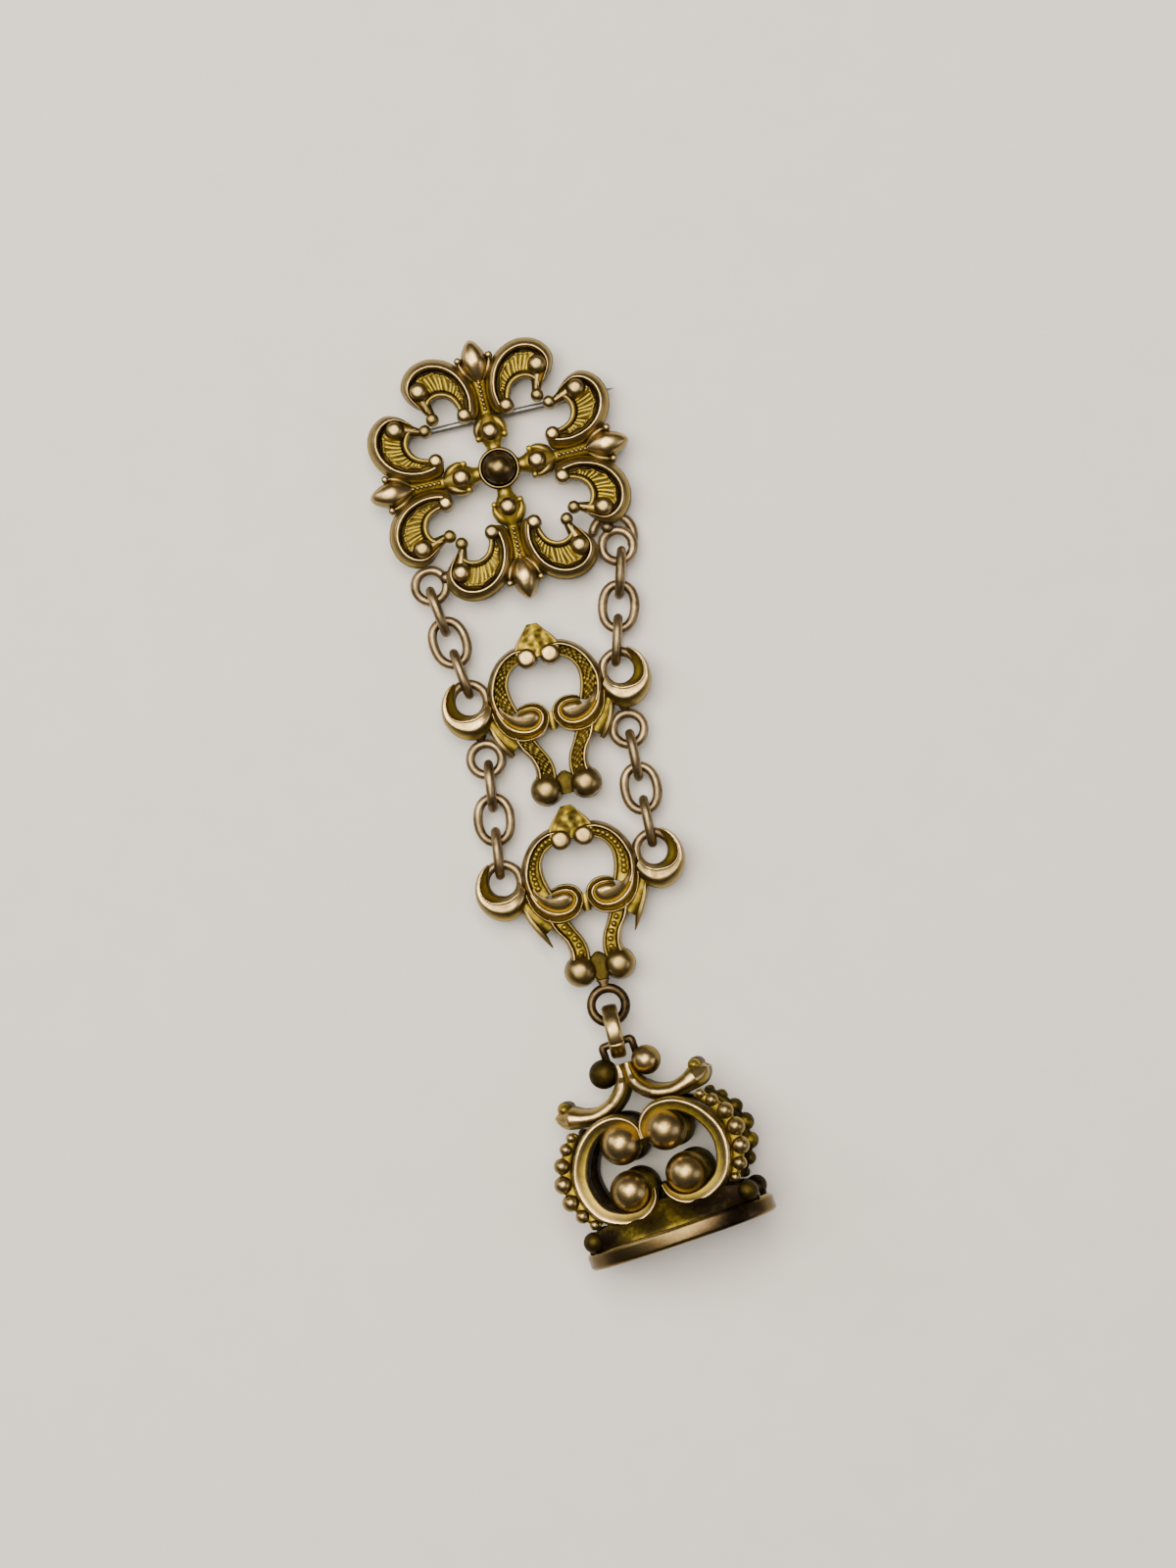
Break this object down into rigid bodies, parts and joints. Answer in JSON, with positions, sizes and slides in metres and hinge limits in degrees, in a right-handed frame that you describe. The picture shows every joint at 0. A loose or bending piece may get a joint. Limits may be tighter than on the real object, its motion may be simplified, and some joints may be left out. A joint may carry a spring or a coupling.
{
  "type": "seal fob",
  "caption": "Scroll brooch with chains of oval links joining two scroll plaques above a scroll-handled seal that hangs from a jump ring.",
  "frame": {"origin": "centre of the bounding box's base, on the surface the fob lies on", "axes": "+Y along the fob from the seal to the brooch, +X to the right seen from the front, +Z out of the front"},
  "size_m": [0.027, 0.0953, 0.0127],
  "materials": {
    "gilt_brass": "worn gilt, satin on high points, tarnish in the recesses",
    "chain_bronze": "dull brownish bronze",
    "tarnished_gilt": "dark tarnish with worn edges",
    "pin_steel": "grey, slightly rough"
  },
  "bodies": {
    "brooch": {"brooch_casting": "gilt_brass", "centre_bead": "tarnished_gilt", "pin_hinge": "gilt_brass", "pin_hinge_rivet": "pin_steel", "pin_catch": "gilt_brass", "brooch_ring_left": "chain_bronze", "brooch_ring_right": "chain_bronze", "brooch_rear_ring": "chain_bronze"},
    "pin": {"pin_stem": "pin_steel"},
    "upper_left_link_1": {"upper_left_link_1": "chain_bronze"},
    "upper_left_link_2": {"upper_left_link_2": "chain_bronze"},
    "upper_left_link_3": {"upper_left_link_3": "chain_bronze"},
    "upper_right_link_1": {"upper_right_link_1": "chain_bronze"},
    "upper_right_link_2": {"upper_right_link_2": "chain_bronze"},
    "upper_right_link_3": {"upper_right_link_3": "chain_bronze"},
    "upper_plaque": {"upper_plaque": "gilt_brass", "upper_ear_ring_left": "chain_bronze", "upper_ear_ring_right": "chain_bronze", "upper_drop_ring_left": "chain_bronze", "upper_drop_ring_right": "chain_bronze"},
    "lower_left_link_1": {"lower_left_link_1": "chain_bronze"},
    "lower_left_link_2": {"lower_left_link_2": "chain_bronze"},
    "lower_left_link_3": {"lower_left_link_3": "chain_bronze"},
    "lower_right_link_1": {"lower_right_link_1": "chain_bronze"},
    "lower_right_link_2": {"lower_right_link_2": "chain_bronze"},
    "lower_right_link_3": {"lower_right_link_3": "chain_bronze"},
    "lower_plaque": {"lower_plaque": "gilt_brass", "lower_ear_ring_left": "chain_bronze", "lower_ear_ring_right": "chain_bronze", "lower_bottom_ring": "chain_bronze"},
    "jump_ring": {"seal_jump_ring": "chain_bronze"},
    "seal": {"seal_bail": "gilt_brass", "seal_crown": "gilt_brass", "seal_front_scrolls": "gilt_brass", "seal_rear_scrolls": "gilt_brass", "seal_base": "tarnished_gilt"}
  },
  "joints": [
    {"name": "pin_swivel", "type": "hinge", "parent": "brooch", "child": "pin", "pos_m": [-0.00952, 0.0395, 0.00105], "axis": [0, 0, 1], "range_deg": [0, 50]},
    {"name": "upper_left_pivot_1", "type": "hinge", "parent": "brooch", "child": "upper_left_link_1", "pos_m": [-0.00938, 0.0224, 0.00215], "axis": [1, 0, 0], "range_deg": [-60, 60]},
    {"name": "upper_right_pivot_1", "type": "hinge", "parent": "brooch", "child": "upper_right_link_1", "pos_m": [0.01015, 0.0224, 0.00215], "axis": [1, 0, 0], "range_deg": [-60, 60]},
    {"name": "upper_left_pivot_2", "type": "hinge", "parent": "upper_left_link_1", "child": "upper_left_link_2", "pos_m": [-0.00905, 0.02017, 0.00215], "axis": [-1, 0.0028, 0], "range_deg": [-75, 75]},
    {"name": "upper_right_pivot_2", "type": "hinge", "parent": "upper_right_link_1", "child": "upper_right_link_2", "pos_m": [0.00954, 0.02011, 0.00215], "axis": [-1, 0.0028, 0], "range_deg": [-75, 75]},
    {"name": "upper_left_pivot_3", "type": "hinge", "parent": "upper_left_link_2", "child": "upper_left_link_3", "pos_m": [-0.00838, 0.01566, 0.00215], "axis": [1, 0.0031, 0], "range_deg": [-75, 75]},
    {"name": "upper_right_pivot_3", "type": "hinge", "parent": "upper_right_link_2", "child": "upper_right_link_3", "pos_m": [0.00836, 0.01572, 0.00215], "axis": [1, 0.0031, 0], "range_deg": [-75, 75]},
    {"name": "upper_plaque_pivot", "type": "hinge", "parent": "upper_left_link_3", "child": "upper_plaque", "pos_m": [-0.00805, 0.01343, 0.00215], "axis": [-1, 0, 0], "range_deg": [-60, 60]},
    {"name": "lower_left_pivot_1", "type": "hinge", "parent": "upper_plaque", "child": "lower_left_link_1", "pos_m": [-0.0076, 0.00388, 0.00215], "axis": [1, 0, 0], "range_deg": [-60, 60]},
    {"name": "lower_right_pivot_1", "type": "hinge", "parent": "upper_plaque", "child": "lower_right_link_1", "pos_m": [0.0073, 0.00388, 0.00215], "axis": [1, 0, 0], "range_deg": [-60, 60]},
    {"name": "lower_left_pivot_2", "type": "hinge", "parent": "lower_left_link_1", "child": "lower_left_link_2", "pos_m": [-0.00785, 0.00152, 0.00215], "axis": [-1, -0.0008, 0], "range_deg": [-75, 75]},
    {"name": "lower_right_pivot_2", "type": "hinge", "parent": "lower_right_link_1", "child": "lower_right_link_2", "pos_m": [0.00728, 0.00153, 0.00215], "axis": [-1, -0.0008, 0], "range_deg": [-75, 75]},
    {"name": "lower_left_pivot_3", "type": "hinge", "parent": "lower_left_link_2", "child": "lower_left_link_3", "pos_m": [-0.00833, -0.003, 0.00215], "axis": [1, -0.0008, 0], "range_deg": [-75, 75]},
    {"name": "lower_right_pivot_3", "type": "hinge", "parent": "lower_right_link_2", "child": "lower_right_link_3", "pos_m": [0.00724, -0.00301, 0.00215], "axis": [1, -0.0008, 0], "range_deg": [-75, 75]},
    {"name": "lower_plaque_pivot", "type": "hinge", "parent": "lower_left_link_3", "child": "lower_plaque", "pos_m": [-0.00858, -0.00536, 0.00215], "axis": [-1, 0, 0], "range_deg": [-60, 60]},
    {"name": "jump_ring_pivot", "type": "hinge", "parent": "lower_plaque", "child": "jump_ring", "pos_m": [-0.00068, -0.02341, 0.00315], "axis": [1, 0, 0], "range_deg": [-50, 90]},
    {"name": "seal_pivot", "type": "hinge", "parent": "jump_ring", "child": "seal", "pos_m": [-0.00068, -0.02546, 0.00462], "axis": [-0.9756, -0.135, -0.173], "range_deg": [-25, 80]}
  ],
  "couplings": [
    {"joint": "upper_right_pivot_1", "follows": "upper_left_pivot_1", "ratio": 1},
    {"joint": "upper_right_pivot_2", "follows": "upper_left_pivot_2", "ratio": 1},
    {"joint": "upper_right_pivot_3", "follows": "upper_left_pivot_3", "ratio": 1},
    {"joint": "lower_right_pivot_1", "follows": "lower_left_pivot_1", "ratio": 1},
    {"joint": "lower_right_pivot_2", "follows": "lower_left_pivot_2", "ratio": 1},
    {"joint": "lower_right_pivot_3", "follows": "lower_left_pivot_3", "ratio": 1}
  ]
}
